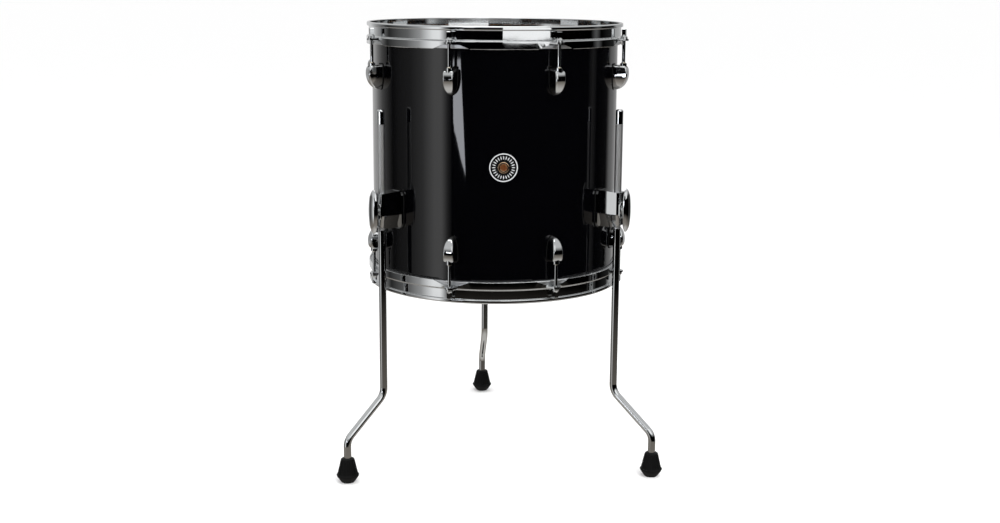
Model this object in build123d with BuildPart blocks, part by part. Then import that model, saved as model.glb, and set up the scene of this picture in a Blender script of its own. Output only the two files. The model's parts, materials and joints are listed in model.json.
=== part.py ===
from build123d import *

import math
import os

# Floor tom: a drum on three bent legs, with a tensioned head at each end.
# Millimetres, +Z up, the badge faces -Y, and the feet stand on Z = 0.
# Everything is drawn round the drum's own axis, and then moved back by AXIS_Y so that
# the origin lies on the floor under the middle of the whole object.

# ---- cutting -----------------------------------------------------------------------
CUT_OVER = 5.0
UPRIGHT = 0.99

# ---- shell -------------------------------------------------------------------------
SHELL_D = 406.4
SHELL_DEPTH = 406.4
SHELL_WALL = 7.0
SHELL_BOTTOM = 309.0
EDGE_FLAT = 0.5
EDGE_BACK = 2.0
EDGE_DROP = 2.5

# ---- heads -------------------------------------------------------------------------
FILM_T = 0.25
FILM_GAP = 0.3
FLESH_W = 5.4
FLESH_H = 10.0

# ---- counter hoops -----------------------------------------------------------------
HOOP_T = 2.3
HOOP_RISE = 12.0
HOOP_LEDGE_DROP = 22.0
HOOP_H = 35.0
HOOP_LIP = 3.2
HOOP_LIP_H = 6.4
HOOP_CLEAR = 0.5
HOOP_WALL_GAP = 2.8
SCALLOP_H = 6.5
SCALLOP_W = 30.0
SCALLOP_SLOPE = 16.0
SCALLOP_FILLET = 10.0
EAR_ROOT_W = 26.0
EAR_T = 2.6
EAR_DROP = 2.0
EAR_END = 7.6
HOOP_ROUNDS = [1.0, 2.4, 1.5, 0.5, 1.4, 1.8, 0.8, 0.8, 0.6, 1.0]

# ---- lugs and tension rods ---------------------------------------------------------
LUG_COUNT = 8
LUG_INSET = 52.0
LUG_L = 41.0
LUG_W = 17.0
LUG_OUT = 24.0
LUG_SHOULDER_R = 4.5
LUG_SHOULDER_DROP = 2.5
LUG_SHOULDER_OUT = 17.0
LUG_BELLY_DROP = 15.0
LUG_TOE = 4.0
LUG_RIM_R = 2.5
GASKET_T = 1.0
GASKET_RIM = 0.8
BARREL_R = 5.4
BARREL_PROUD = 1.2
BARREL_L = 14.0
BARREL_GROOVE = 1.1
NUT_R = 3.9
NUT_L = 22.0
NUT_PROUD = 2.6
NUT_CLEAR = 0.15
NUT_CHAMFER = 0.5
ROD_R = 2.7
ROD_CIRCLE_OUT = 15.8
ROD_ENGAGE = 18.0
RUN_CLEAR = 0.06
ROD_FLANGE_R = 5.7
ROD_FLANGE_T = 1.6
ROD_CONE_H = 4.0
ROD_KEY = 6.35
ROD_KEY_H = 9.0
ROD_KEY_CHAMFER = 0.7
ROD_TIP_CHAMFER = 0.6
WASHER_R = 6.0
WASHER_T = 1.5
WASHER_HOLE_R = 3.1
WASHER_ROUND = 0.4
EAR_HOLE_R = 3.6
LUG_SCREW_R = 2.0
LUG_SCREW_HEAD_R = 4.0
LUG_SCREW_HEAD_H = 2.4
LUG_SCREW_DEPTH = 7.0
LUG_SCREW_TOP = 14.0
LUG_SCREW_PITCH = 18.0
SCREW_CLEAR = 0.3
SCREW_TIP_GAP = 1.0
SCREW_WASHER_R = 5.0
SCREW_WASHER_T = 1.0

# ---- badge and air vent ------------------------------------------------------------
BADGE_D = 44.4
BADGE_T = 0.9
BADGE_RIM_W = 1.7
BADGE_RIM_T = 0.6
MARK_COUNT = 24
MARK_RING_R = 15.3
MARK_L = 5.6
MARK_W = 1.5
MARK_T = 0.35
VENT_R = 5.4
VENT_TUBE_T = 0.9
VENT_FLANGE_R = 8.6
VENT_FLANGE_T = 1.1
VENT_CLEAR = 0.15
VENT_ROUNDS = [0.4, 0.5, 0, 0, 0, 0, 0.8, 0.4]

# ---- leg brackets ------------------------------------------------------------------
BRACKET_Z = 435.5
LEG_AZIMUTH = 53.0
BRACKET_H = 57.0
BRACKET_W = 24.0
SADDLE_GAP = 0.3
BRACKET_CORNER = 5.0
BRACKET_NOSE_RISE = 4.0
BRACKET_TOP_SLOPE = 2.0
BRACKET_FOOT_W = 16.5
BRACKET_TAPER_UNDER_EYE = 2.0
BRACKET_TAPER_R = 12.0
BRACKET_SINK = 1.0
FLANGE_W = 29.0
FLANGE_H = 62.0
FLANGE_T = 4.0
FLANGE_CORNER = 9.0
FLANGE_EDGE = 1.4
BRACKET_GASKET_T = 1.2
BRACKET_SCREW_R = 2.5
BRACKET_SCREW_HEAD_R = 4.8
BRACKET_SCREW_HEAD_H = 3.0
BRACKET_SCREW_DEPTH = 10.0
BRACKET_SCREW_PITCH = 40.0
EYE_WALL = 2.1
EYE_H = 11.0
EYE_CLEAR = 0.4
EYE_SHANK_R = 3.5
EYE_SHANK_END = 3.0
EYE_ROUND = 1.2
SADDLE_T = 2.3
SADDLE_W = 22.0
SADDLE_H = 26.0
SADDLE_HOLE_CLEAR = 0.3
SADDLE_ROUND = 0.8
WING_L = 57.0
WING_W = 16.0
WING_T = 10.0
WING_END_T = 6.0
WING_RELIEF = 1.6
WING_HUB_R = 8.5
WING_GAP = 0.3
WING_THREAD_RELIEF = 0.5

# ---- legs and feet -----------------------------------------------------------------
LEG_R = 6.0
LEG_CIRCLE_OUT = 32.8
LEG_TOP = 596.0
LEG_TIP_FILLET = 3.0
LEG_BEND_1_Z = 132.0
LEG_BEND_2_Z = 70.0
LEG_KICK = 73.5
LEG_BEND_1_R = 26.0
LEG_BEND_2_R = 22.0
LEG_END_Z = 13.0
LEG_CLEAR = 0.1
LEG_END_CHAMFER = 1.0
FOOT_H = 40.0
FOOT_TOP_R = 10.7
FOOT_WIDE_R = 18.4
FOOT_WIDE_Z = 11.5
FOOT_BASE_R = 10.0
FOOT_FIT = 0.05
FOOT_ROUNDS = [0, 1.2, 1.5, 3.0, 0.4, 0, 0]

# ---- places worked out from the sizes ----------------------------------------------
SHELL_R = SHELL_D / 2
SHELL_IN = SHELL_R - SHELL_WALL
SHELL_TOP = SHELL_BOTTOM + SHELL_DEPTH
SHELL_MID = SHELL_BOTTOM + SHELL_DEPTH / 2
MID = Plane.XY.offset(SHELL_MID)
EDGE_APEX = SHELL_R - EDGE_BACK
FILM_IN = SHELL_R + FILM_GAP
FILM_OUT = FILM_IN + FILM_T
FLESH_OUT = FILM_OUT + FLESH_W
HOOP_TOP = SHELL_TOP + HOOP_RISE
HOOP_LEDGE = HOOP_TOP - HOOP_LEDGE_DROP
HOOP_LEDGE_UNDER = HOOP_LEDGE - HOOP_T
HOOP_LOW = HOOP_TOP - HOOP_H
SKIRT_IN = FLESH_OUT + HOOP_CLEAR
SKIRT_OUT = SKIRT_IN + HOOP_T
WALL_IN = SHELL_R + HOOP_WALL_GAP
WALL_OUT = WALL_IN + HOOP_T
LIP_OUT = WALL_OUT + HOOP_LIP
ROD_X = SHELL_R + ROD_CIRCLE_OUT
EAR_TOP = HOOP_LEDGE - EAR_DROP
LUG_TOP = SHELL_TOP - LUG_INSET
LUG_BACK = SHELL_R + GASKET_T
LUG_STEP = 360 / LUG_COUNT
LUG_FIRST = LUG_STEP / 2 - 90
LUG_SCREW_Z = LUG_TOP - LUG_SCREW_TOP - LUG_SCREW_PITCH / 2
LEG_X = SHELL_R + LEG_CIRCLE_OUT
FOOT_X = LEG_X + LEG_KICK
FLANGE_BACK = SHELL_R + BRACKET_GASKET_T
EYE_R = LEG_R + LEG_CLEAR + EYE_WALL
BRACKET_END = LEG_X + EYE_R + SADDLE_GAP
SADDLE_END = BRACKET_END + SADDLE_T
WING_X = SADDLE_END + WING_GAP
WING_OUT = WING_X + WING_T
FRONT_REACH = max(LIP_OUT, (SHELL_R + LUG_OUT) * math.cos(math.radians(LUG_STEP / 2)))
REAR_REACH = FOOT_X + FOOT_WIDE_R
AXIS_Y = (FRONT_REACH - REAR_REACH) / 2
LEG_ANGLES = {"left": -90 - LEG_AZIMUTH, "right": -90 + LEG_AZIMUTH, "rear": 90}

os.makedirs("parts", exist_ok=True)


def save(piece, name):
    """Moves a finished piece from the drum's axis into the frame and writes it."""
    piece.part = piece.part.moved(Location((0, AXIS_Y, 0)))
    piece.part.label = name
    export_step(piece.part, f"parts/{name}.step")


def turned(piece, angle):
    """A copy of a piece drawn along +X, turned about the drum's axis."""
    with BuildPart() as copy:
        with Locations(Location((0, 0, 0), (0, 0, angle))):
            add(piece.part)
    return copy


def flipped(piece):
    """The same piece for the lower end of the drum."""
    with BuildPart() as copy:
        mirror(piece.part, about=MID)
    return copy


def ring_of(piece):
    """A copy of a piece at every lug."""
    with BuildPart() as ring:
        with PolarLocations(0, LUG_COUNT, LUG_FIRST):
            add(piece.part)
    return ring


def spaced_bars(radius, start, end, middle, pitch):
    """Two round bars along +X, one above the other, between two radii."""
    with BuildPart() as bars:
        with BuildSketch(Plane.YZ.offset(start)):
            with Locations((0, middle)):
                with GridLocations(0, pitch, 1, 2):
                    Circle(radius)
        extrude(amount=end - start)
    return bars


def fitted_to_shell(blank, inner, outer):
    """What a blank keeps between two cylinders about the drum's axis."""
    with BuildPart() as skin:
        add(blank.part)
        with Locations((0, 0, SHELL_MID)):
            Cylinder(outer, SHELL_DEPTH, mode=Mode.INTERSECT)
            Cylinder(inner, SHELL_DEPTH, mode=Mode.SUBTRACT)
    return skin


def screws(radius, tip, head_radius, head_height, middle, pitch):
    """Two pan-head screws with washers, put in from inside the shell."""
    seat = SHELL_IN * math.cos(SCREW_WASHER_R / SHELL_IN) - SCREW_WASHER_T
    shank = spaced_bars(radius, seat, tip, middle, pitch)
    pan = spaced_bars(head_radius, seat - head_height, seat, middle, pitch)
    with BuildPart() as pair:
        add(pan.part)
        inner_rims = pair.edges().filter_by(GeomType.CIRCLE).group_by(Axis.X)[0]
        fillet(inner_rims, head_height / 2)
        add(shank.part)
    return pair


def washers(bore, middle, pitch):
    """The two washers that those screws press on the shell's inner wall."""
    seat = SHELL_IN * math.cos(SCREW_WASHER_R / SHELL_IN)
    disc = spaced_bars(SCREW_WASHER_R, seat - SCREW_WASHER_T, seat, middle, pitch)
    hole = spaced_bars(bore, seat - SCREW_WASHER_T, seat, middle, pitch)
    with BuildPart() as pair:
        add(disc.part)
        add(hole.part, mode=Mode.SUBTRACT)
    return pair


# ---- shell -------------------------------------------------------------------------
LUG_SCREW_AT = (LUG_SCREW_Z, LUG_SCREW_PITCH)
BRACKET_SCREW_AT = (BRACKET_Z, BRACKET_SCREW_PITCH)
lug_hole_r = LUG_SCREW_R + SCREW_CLEAR
bracket_hole_r = BRACKET_SCREW_R + SCREW_CLEAR
vent_hole_r = VENT_R + VENT_TUBE_T + VENT_CLEAR
lug_holes = spaced_bars(lug_hole_r, SHELL_IN - CUT_OVER, SHELL_R + CUT_OVER, *LUG_SCREW_AT)
lug_holes_low = flipped(lug_holes)
bracket_holes = spaced_bars(bracket_hole_r, SHELL_IN - CUT_OVER, SHELL_R + CUT_OVER, *BRACKET_SCREW_AT)

with BuildPart() as shell:
    with BuildSketch(Plane.XZ):
        bevel = EDGE_APEX - EDGE_FLAT - SHELL_IN
        with BuildLine():
            Polyline(
                (SHELL_IN, SHELL_BOTTOM + bevel),
                (EDGE_APEX - EDGE_FLAT, SHELL_BOTTOM),
                (EDGE_APEX, SHELL_BOTTOM),
                (SHELL_R, SHELL_BOTTOM + EDGE_DROP),
                (SHELL_R, SHELL_TOP - EDGE_DROP),
                (EDGE_APEX, SHELL_TOP),
                (EDGE_APEX - EDGE_FLAT, SHELL_TOP),
                (SHELL_IN, SHELL_TOP - bevel),
                close=True,
            )
        make_face()
    revolve(axis=Axis.Z)
    with PolarLocations(0, LUG_COUNT, LUG_FIRST):
        add(lug_holes.part, mode=Mode.SUBTRACT)
        add(lug_holes_low.part, mode=Mode.SUBTRACT)
    for angle in LEG_ANGLES.values():
        with Locations(Location((0, 0, 0), (0, 0, angle))):
            add(bracket_holes.part, mode=Mode.SUBTRACT)
    with BuildSketch(Plane.XZ.offset(SHELL_IN - CUT_OVER)):
        with Locations((0, SHELL_MID)):
            Circle(vent_hole_r)
    extrude(amount=SHELL_WALL + 2 * CUT_OVER, mode=Mode.SUBTRACT)
save(shell, "shell")

# ---- heads -------------------------------------------------------------------------
with BuildPart() as head:
    with BuildSketch(Plane.XZ):
        collar_low = HOOP_LEDGE_UNDER - FLESH_H
        with BuildLine():
            Polyline(
                (0, SHELL_TOP),
                (EDGE_APEX, SHELL_TOP),
                (FILM_IN, SHELL_TOP - EDGE_DROP),
                (FILM_IN, collar_low),
                (FILM_OUT, collar_low),
                (FILM_OUT, SHELL_TOP - EDGE_DROP + FILM_T / 2),
                (EDGE_APEX + FILM_T / 2, SHELL_TOP + FILM_T),
                (0, SHELL_TOP + FILM_T),
                close=True,
            )
        make_face()
    revolve(axis=Axis.Z)

with BuildPart() as flesh_hoop:
    with BuildSketch(Plane.XZ):
        with Locations((FILM_OUT + FLESH_W / 2, HOOP_LEDGE_UNDER - FLESH_H / 2)):
            Rectangle(FLESH_W, FLESH_H)
    revolve(axis=Axis.Z)
    fillet(flesh_hoop.edges().filter_by(GeomType.CIRCLE).group_by(Axis.Z)[0], FLESH_W / 4)

resonant_head = flipped(head)
resonant_flesh_hoop = flipped(flesh_hoop)
save(head, "batter_head")
save(resonant_head, "resonant_head")
save(flesh_hoop, "batter_flesh_hoop")
save(resonant_flesh_hoop, "resonant_flesh_hoop")

# ---- counter hoops -----------------------------------------------------------------
with BuildPart() as scallop:
    with BuildSketch(Plane.YZ.offset(SHELL_R)):
        half_top = SCALLOP_W / 2
        half_low = half_top + SCALLOP_SLOPE
        with BuildLine():
            FilletPolyline(
                (-half_low, HOOP_LOW),
                (-half_top, HOOP_LOW + SCALLOP_H),
                (half_top, HOOP_LOW + SCALLOP_H),
                (half_low, HOOP_LOW),
                (half_low, HOOP_LOW - EDGE_DROP),
                (-half_low, HOOP_LOW - EDGE_DROP),
                radius=[0, SCALLOP_FILLET, SCALLOP_FILLET, 0, 0, 0],
                close=True,
            )
        make_face()
    extrude(amount=SKIRT_OUT - SHELL_R + HOOP_T)

with BuildPart() as ear:
    with BuildSketch(Plane.XY.offset(EAR_TOP - EAR_T)):
        with Locations((ROD_X, 0)):
            Circle(EAR_END)
        with Locations((SKIRT_IN + HOOP_T / 2, 0)):
            Rectangle(HOOP_T / 2, EAR_ROOT_W)
        make_hull()
    extrude(amount=EAR_T)

with BuildPart() as ear_hole:
    with BuildSketch(Plane.XY.offset(EAR_TOP - EAR_T)):
        with Locations((ROD_X, 0)):
            Circle(EAR_HOLE_R)
    extrude(amount=EAR_T)

with BuildPart() as top_hoop:
    with BuildSketch(Plane.XZ):
        with BuildLine():
            FilletPolyline(
                (WALL_IN, HOOP_TOP),
                (LIP_OUT, HOOP_TOP),
                (LIP_OUT, HOOP_TOP - HOOP_LIP_H),
                (WALL_OUT, HOOP_TOP - HOOP_LIP_H),
                (WALL_OUT, HOOP_LEDGE),
                (SKIRT_OUT, HOOP_LEDGE),
                (SKIRT_OUT, HOOP_LOW),
                (SKIRT_IN, HOOP_LOW),
                (SKIRT_IN, HOOP_LEDGE_UNDER),
                (WALL_IN, HOOP_LEDGE_UNDER),
                radius=HOOP_ROUNDS,
                close=True,
            )
        make_face()
    revolve(axis=Axis.Z)
    with PolarLocations(0, LUG_COUNT, LUG_FIRST):
        add(scallop.part, mode=Mode.SUBTRACT)
    with PolarLocations(0, LUG_COUNT, LUG_FIRST):
        add(ear.part)
    with PolarLocations(0, LUG_COUNT, LUG_FIRST):
        add(ear_hole.part, mode=Mode.SUBTRACT)

bottom_hoop = flipped(top_hoop)
save(top_hoop, "top_hoop")
save(bottom_hoop, "bottom_hoop")

# ---- lugs --------------------------------------------------------------------------
LUG_TIP = LUG_TOP - LUG_L
BELLY_Z = LUG_TOP - LUG_BELLY_DROP


def lug_outline(grow):
    """The lug's outline from the front: square shoulders and a pointed oval foot."""
    with BuildSketch(Plane.YZ.offset(SHELL_IN)) as outline:
        with Locations((0, BELLY_Z)):
            Ellipse(LUG_W / 2 + grow, LUG_L - LUG_BELLY_DROP + grow)
        with Locations((0, LUG_TOP + grow)):
            Rectangle(
                LUG_W + 2 * grow,
                LUG_L,
                align=(Align.CENTER, Align.MIN),
                mode=Mode.SUBTRACT,
            )
            Rectangle(
                LUG_W + 2 * grow,
                LUG_BELLY_DROP + grow,
                align=(Align.CENTER, Align.MAX),
            )
        fillet(outline.vertices().group_by(Axis.Y)[-1], LUG_SHOULDER_R + grow)
    return outline


def on_lug_rim(edge):
    """True on the rim that runs round the domed front and over both shoulders."""
    upright = edge.geom_type == GeomType.LINE and abs(edge.tangent_at(0).Z) > UPRIGHT
    on_shoulder = LUG_TOP - 2 * LUG_SHOULDER_DROP < edge.center().Z < LUG_TOP
    return edge.geom_type == GeomType.BSPLINE or (on_shoulder and not upright)


lug_front = lug_outline(0)
gasket_front = lug_outline(GASKET_RIM)

with BuildPart() as gasket_blank:
    extrude(gasket_front.sketch, amount=SHELL_WALL + LUG_OUT)
    add(lug_holes.part, mode=Mode.SUBTRACT)
lug_gasket = fitted_to_shell(gasket_blank, SHELL_R, LUG_BACK)

lug_thread_end = SHELL_R + LUG_SCREW_DEPTH + SCREW_TIP_GAP
lug_threads = spaced_bars(LUG_SCREW_R, SHELL_IN, lug_thread_end, *LUG_SCREW_AT)

with BuildPart() as lug:
    with BuildSketch(Plane.XZ):
        with BuildLine():
            belly = (SHELL_R + LUG_OUT, BELLY_Z)
            shoulder = (SHELL_R + LUG_SHOULDER_OUT, LUG_TOP - LUG_SHOULDER_DROP)
            Polyline((SHELL_R + LUG_TOE, LUG_TIP), (SHELL_IN, LUG_TIP), (SHELL_IN, LUG_TOP), shoulder)
            Bezier(shoulder, (SHELL_R + LUG_OUT, shoulder[1]), belly)
            EllipticalCenterArc(
                (SHELL_R + LUG_TOE, BELLY_Z),
                LUG_OUT - LUG_TOE,
                LUG_L - LUG_BELLY_DROP,
                start_angle=270,
                arc_size=90,
            )
        make_face()
    extrude(amount=LUG_W, both=True)
    extrude(lug_front.sketch, amount=SHELL_WALL + LUG_OUT, mode=Mode.INTERSECT)
    fillet(lug.edges().filter_by(on_lug_rim), LUG_RIM_R)
    with Locations((ROD_X, 0, LUG_TOP)):
        Cylinder(BARREL_R + BARREL_GROOVE, 2 * BARREL_L, mode=Mode.SUBTRACT)
    with Locations((ROD_X, 0, LUG_TOP + BARREL_PROUD)):
        Cylinder(BARREL_R, BARREL_L + 2 * BARREL_PROUD, align=(Align.CENTER, Align.CENTER, Align.MAX))
    with Locations((0, 0, SHELL_MID)):
        Cylinder(LUG_BACK, SHELL_DEPTH, mode=Mode.SUBTRACT)
    with Locations((ROD_X, 0, LUG_TOP + BARREL_PROUD)):
        Cylinder(
            NUT_R + NUT_CLEAR,
            NUT_L,
            align=(Align.CENTER, Align.CENTER, Align.MAX),
            mode=Mode.SUBTRACT,
        )
    add(lug_threads.part, mode=Mode.SUBTRACT)

with BuildPart() as swivel_nut:
    with Locations((ROD_X, 0, LUG_TOP + NUT_PROUD)):
        Cylinder(NUT_R, NUT_L, align=(Align.CENTER, Align.CENTER, Align.MAX))
        chamfer(swivel_nut.edges().group_by(Axis.Z)[-1], NUT_CHAMFER)
        Cylinder(
            ROD_R + RUN_CLEAR,
            NUT_L,
            align=(Align.CENTER, Align.CENTER, Align.MAX),
            mode=Mode.SUBTRACT,
        )

lug_screw = screws(
    LUG_SCREW_R,
    SHELL_R + LUG_SCREW_DEPTH,
    LUG_SCREW_HEAD_R,
    LUG_SCREW_HEAD_H,
    *LUG_SCREW_AT,
)
lug_washer = washers(lug_hole_r, *LUG_SCREW_AT)

upper = {
    "lugs": ring_of(lug),
    "lug_gaskets": ring_of(lug_gasket),
    "swivel_nuts": ring_of(swivel_nut),
}
for name, piece in upper.items():
    lower_piece = flipped(piece)
    save(piece, f"{name}_top")
    save(lower_piece, f"{name}_bottom")

for name, piece in {"lug_screws": lug_screw, "lug_screw_washers": lug_washer}.items():
    upper_ring = ring_of(piece)
    with BuildPart() as both_rings:
        add(upper_ring.part)
        add(flipped(upper_ring).part)
    save(both_rings, name)

# ---- tension rods ------------------------------------------------------------------
ROD_SEAT = EAR_TOP + WASHER_T
ROD_CONE_Z = ROD_SEAT + ROD_FLANGE_T
ROD_KEY_Z = ROD_CONE_Z + ROD_CONE_H
ROD_LOW = LUG_TOP + NUT_PROUD - ROD_ENGAGE

with BuildPart() as tension_rod:
    with BuildSketch(Plane.XZ):
        with BuildLine():
            Polyline(
                (ROD_X, ROD_LOW),
                (ROD_X + ROD_R, ROD_LOW),
                (ROD_X + ROD_R, ROD_SEAT),
                (ROD_X + ROD_FLANGE_R, ROD_SEAT),
                (ROD_X + ROD_FLANGE_R, ROD_CONE_Z),
                (ROD_X + ROD_KEY / 2, ROD_KEY_Z),
                (ROD_X, ROD_KEY_Z),
                close=True,
            )
        make_face()
    revolve(axis=Axis((ROD_X, 0, 0), (0, 0, 1)))
    with BuildSketch(Plane.XY.offset(ROD_CONE_Z)):
        with Locations((ROD_X, 0)):
            Rectangle(ROD_KEY, ROD_KEY)
    extrude(amount=ROD_CONE_H + ROD_KEY_H)
    chamfer(tension_rod.edges().group_by(Axis.Z)[-1], ROD_KEY_CHAMFER)
    chamfer(tension_rod.edges().group_by(Axis.Z)[0], ROD_TIP_CHAMFER)

with BuildPart() as tension_washer:
    with Locations((ROD_X, 0, EAR_TOP)):
        Cylinder(WASHER_R, WASHER_T, align=(Align.CENTER, Align.CENTER, Align.MIN))
        fillet(tension_washer.edges().group_by(Axis.Z)[-1], WASHER_ROUND)
        Cylinder(
            WASHER_HOLE_R,
            WASHER_T,
            align=(Align.CENTER, Align.CENTER, Align.MIN),
            mode=Mode.SUBTRACT,
        )

washers_top = ring_of(tension_washer)
washers_bottom = flipped(washers_top)
save(washers_top, "tension_washers_top")
save(washers_bottom, "tension_washers_bottom")

for number in range(LUG_COUNT):
    rod = turned(tension_rod, LUG_FIRST + number * LUG_STEP)
    low_rod = flipped(rod)
    save(rod, f"tension_rod_top_{number + 1}")
    save(low_rod, f"tension_rod_bottom_{number + 1}")

# ---- badge and air vent ------------------------------------------------------------
with BuildPart() as badge_disc:
    with BuildSketch(Plane.XZ.offset(SHELL_IN)):
        with Locations((0, SHELL_MID)):
            Circle(BADGE_D / 2)
            Circle(vent_hole_r, mode=Mode.SUBTRACT)
    extrude(amount=SHELL_WALL + 2 * BADGE_RIM_T + 2 * BADGE_T)

with BuildPart() as badge_rim:
    with BuildSketch(Plane.XZ.offset(SHELL_IN)):
        with Locations((0, SHELL_MID)):
            Circle(BADGE_D / 2)
            Circle(BADGE_D / 2 - BADGE_RIM_W, mode=Mode.SUBTRACT)
    extrude(amount=SHELL_WALL + 2 * BADGE_RIM_T + 2 * BADGE_T)

with BuildPart() as badge_marks:
    with BuildSketch(Plane.XZ.offset(SHELL_IN)):
        with Locations((0, SHELL_MID)):
            with PolarLocations(MARK_RING_R, MARK_COUNT):
                Ellipse(MARK_L / 2, MARK_W / 2)
    extrude(amount=SHELL_WALL + 2 * BADGE_RIM_T + 2 * BADGE_T)

badge_plate = fitted_to_shell(badge_disc, SHELL_R, SHELL_R + BADGE_T)
rim_plate = fitted_to_shell(badge_rim, SHELL_R, SHELL_R + BADGE_T + BADGE_RIM_T)
mark_plate = fitted_to_shell(badge_marks, SHELL_R, SHELL_R + BADGE_T + MARK_T)
with BuildPart() as badge:
    add(badge_plate.part)
    add(rim_plate.part)
    add(mark_plate.part)
save(badge, "badge")

with BuildPart() as vent_grommet:
    tube_out = VENT_R + VENT_TUBE_T
    flange_y = SHELL_R + BADGE_T
    inner_y = (SHELL_IN - VENT_CLEAR) * math.cos(VENT_FLANGE_R / SHELL_IN)
    with BuildSketch(Plane.XY):
        with BuildLine():
            FilletPolyline(
                (VENT_R, -inner_y + VENT_FLANGE_T),
                (VENT_FLANGE_R, -inner_y + VENT_FLANGE_T),
                (VENT_FLANGE_R, -inner_y),
                (tube_out, -inner_y),
                (tube_out, -flange_y),
                (VENT_FLANGE_R, -flange_y),
                (VENT_FLANGE_R, -flange_y - VENT_FLANGE_T),
                (VENT_R, -flange_y - VENT_FLANGE_T),
                radius=VENT_ROUNDS,
                close=True,
            )
        make_face()
    revolve(axis=Axis((0, 0, 0), (0, 1, 0)))
    vent_grommet.part = vent_grommet.part.moved(Location((0, 0, SHELL_MID)))
save(vent_grommet, "vent_grommet")

# ---- leg brackets ------------------------------------------------------------------
BRACKET_LOW = BRACKET_Z - BRACKET_H / 2
BRACKET_TOP = BRACKET_Z + BRACKET_H / 2


def flange_blank(grow):
    """The bracket's foot plate from the front, drawn through the shell wall."""
    with BuildPart() as blank:
        with BuildSketch(Plane.YZ.offset(SHELL_IN)):
            with Locations((0, BRACKET_Z)):
                RectangleRounded(FLANGE_W + 2 * grow, FLANGE_H + 2 * grow, FLANGE_CORNER + grow)
        extrude(amount=SHELL_WALL + BRACKET_GASKET_T + FLANGE_T + FLANGE_EDGE)
    return blank


bracket_gasket_blank = flange_blank(GASKET_RIM)
with BuildPart() as drilled_blank:
    add(bracket_gasket_blank.part)
    add(bracket_holes.part, mode=Mode.SUBTRACT)
bracket_gasket = fitted_to_shell(drilled_blank, SHELL_R, FLANGE_BACK)

bracket_flange = fitted_to_shell(flange_blank(0), FLANGE_BACK, FLANGE_BACK + FLANGE_T)

bracket_thread_end = SHELL_R + BRACKET_SCREW_DEPTH + SCREW_TIP_GAP
bracket_threads = spaced_bars(BRACKET_SCREW_R, SHELL_IN, bracket_thread_end, *BRACKET_SCREW_AT)

with BuildPart() as bracket:
    with BuildSketch(Plane.XZ):
        with BuildLine():
            Polyline(
                (FLANGE_BACK + BRACKET_SINK, BRACKET_LOW),
                (LEG_X - LEG_R, BRACKET_LOW),
                (BRACKET_END, BRACKET_LOW + BRACKET_NOSE_RISE),
                (BRACKET_END, BRACKET_TOP),
                (FLANGE_BACK + BRACKET_SINK, BRACKET_TOP + BRACKET_TOP_SLOPE),
                close=True,
            )
        make_face()
    extrude(amount=BRACKET_W / 2, both=True)
    with BuildSketch(Plane.YZ.offset(SHELL_R)):
        taper_z = BRACKET_Z - EYE_H / 2 - BRACKET_TAPER_UNDER_EYE
        with BuildLine():
            FilletPolyline(
                (-BRACKET_W / 2, BRACKET_TOP + FLANGE_H),
                (-BRACKET_W / 2, taper_z),
                (-BRACKET_FOOT_W / 2, BRACKET_LOW),
                (BRACKET_FOOT_W / 2, BRACKET_LOW),
                (BRACKET_W / 2, taper_z),
                (BRACKET_W / 2, BRACKET_TOP + FLANGE_H),
                radius=[0, BRACKET_TAPER_R, 0, 0, BRACKET_TAPER_R, 0],
                close=True,
            )
        make_face()
    extrude(amount=BRACKET_END - SHELL_R, mode=Mode.INTERSECT)
    fillet(bracket.faces().sort_by(Axis.X)[-1].edges().filter_by(Axis.Z), BRACKET_CORNER)
    add(bracket_flange.part)
    with Locations((LEG_X, 0, BRACKET_Z)):
        Cylinder(LEG_R + LEG_CLEAR, 2 * BRACKET_H, mode=Mode.SUBTRACT)
        Cylinder(EYE_R + EYE_CLEAR, EYE_H + 2 * EYE_CLEAR, mode=Mode.SUBTRACT)
    with Locations((LEG_X, 0, BRACKET_Z)):
        Box(
            BRACKET_W,
            2 * (EYE_R + EYE_CLEAR),
            EYE_H + 2 * EYE_CLEAR,
            align=(Align.MIN, Align.CENTER, Align.CENTER),
            mode=Mode.SUBTRACT,
        )
    add(bracket_threads.part, mode=Mode.SUBTRACT)

with BuildPart() as eye_bolt:
    with BuildSketch(Plane.XY.offset(BRACKET_Z)):
        with Locations((LEG_X, 0)):
            Circle(EYE_R)
    extrude(amount=EYE_H / 2, both=True)
    fillet(eye_bolt.edges().filter_by(GeomType.CIRCLE), EYE_ROUND)
    with BuildSketch(Plane.YZ.offset(LEG_X)):
        with Locations((0, BRACKET_Z)):
            Circle(EYE_SHANK_R)
    extrude(amount=WING_OUT - EYE_SHANK_END - LEG_X)
    with Locations((LEG_X, 0, BRACKET_Z)):
        Cylinder(LEG_R + LEG_CLEAR, 2 * EYE_H, mode=Mode.SUBTRACT)

with BuildPart() as clamp_saddle:
    with BuildSketch(Plane.YZ.offset(BRACKET_END)):
        with Locations((0, BRACKET_Z)):
            RectangleRounded(SADDLE_W, SADDLE_H, BRACKET_CORNER)
            Circle(EYE_SHANK_R + SADDLE_HOLE_CLEAR, mode=Mode.SUBTRACT)
    extrude(amount=SADDLE_T)
    fillet(clamp_saddle.faces().sort_by(Axis.X)[-1].outer_wire().edges(), SADDLE_ROUND)

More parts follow.
